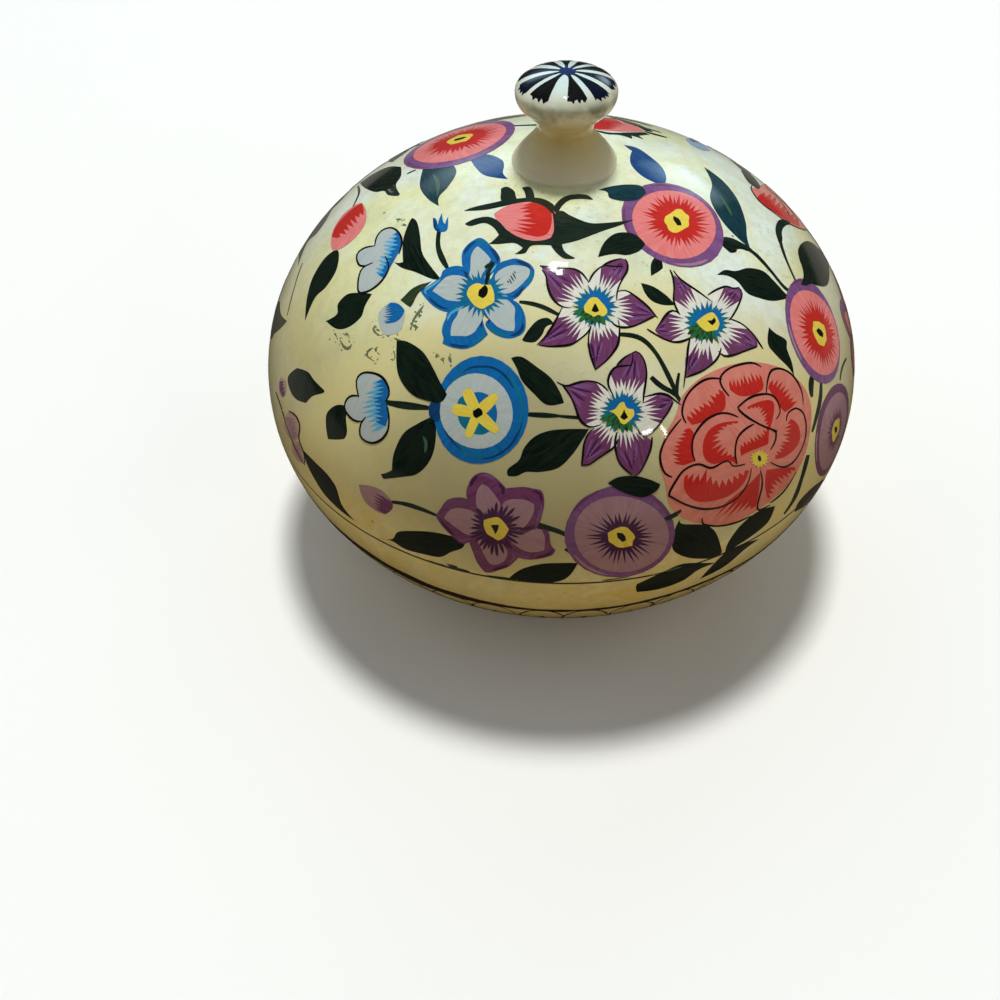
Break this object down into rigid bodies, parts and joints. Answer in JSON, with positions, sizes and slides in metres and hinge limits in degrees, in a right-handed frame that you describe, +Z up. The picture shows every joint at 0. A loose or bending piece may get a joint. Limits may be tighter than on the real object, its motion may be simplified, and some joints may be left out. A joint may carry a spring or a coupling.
{
  "type": "papier mache lidded box",
  "caption": "Round lacquered papier mache box with hand-painted floral ornament, a lift-off domed lid located by an inner collar, and a turned knob.",
  "frame": {"origin": "middle of the flat underside", "axes": "+Z up along the box's axis, through the middle of the knob; -Y towards the side with the large red flower right of the front"},
  "size_m": [0.115, 0.115, 0.0965],
  "materials": {
    "lid_lacquer": "papier mache under a cream ground with a clear gloss lacquer",
    "base_lacquer": "papier mache under a cream ground with a clear gloss lacquer",
    "inside_lacquer": "plain black satin lacquer on papier mache",
    "knob_lacquer": "turned wood, ivory paint with a radial dark blue pattern, clear gloss lacquer",
    "paint_leaf": "dark green brush paint under clear gloss lacquer",
    "paint_flower": "brush paint in pink, red, purple, blue and yellow under clear gloss lacquer",
    "paint_line": "fine black brush line under clear gloss lacquer"
  },
  "bodies": {
    "base": {"base_bowl": "base_lacquer", "base_collar": "inside_lacquer"},
    "lid": {"lid_dome": "lid_lacquer", "knob": "knob_lacquer", "crown_patch": "inside_lacquer"}
  },
  "joints": [
    {"name": "lid_lift", "type": "slide", "parent": "base", "child": "lid", "axis": [0, 0, 1], "range_m": [0, 0.08]}
  ]
}
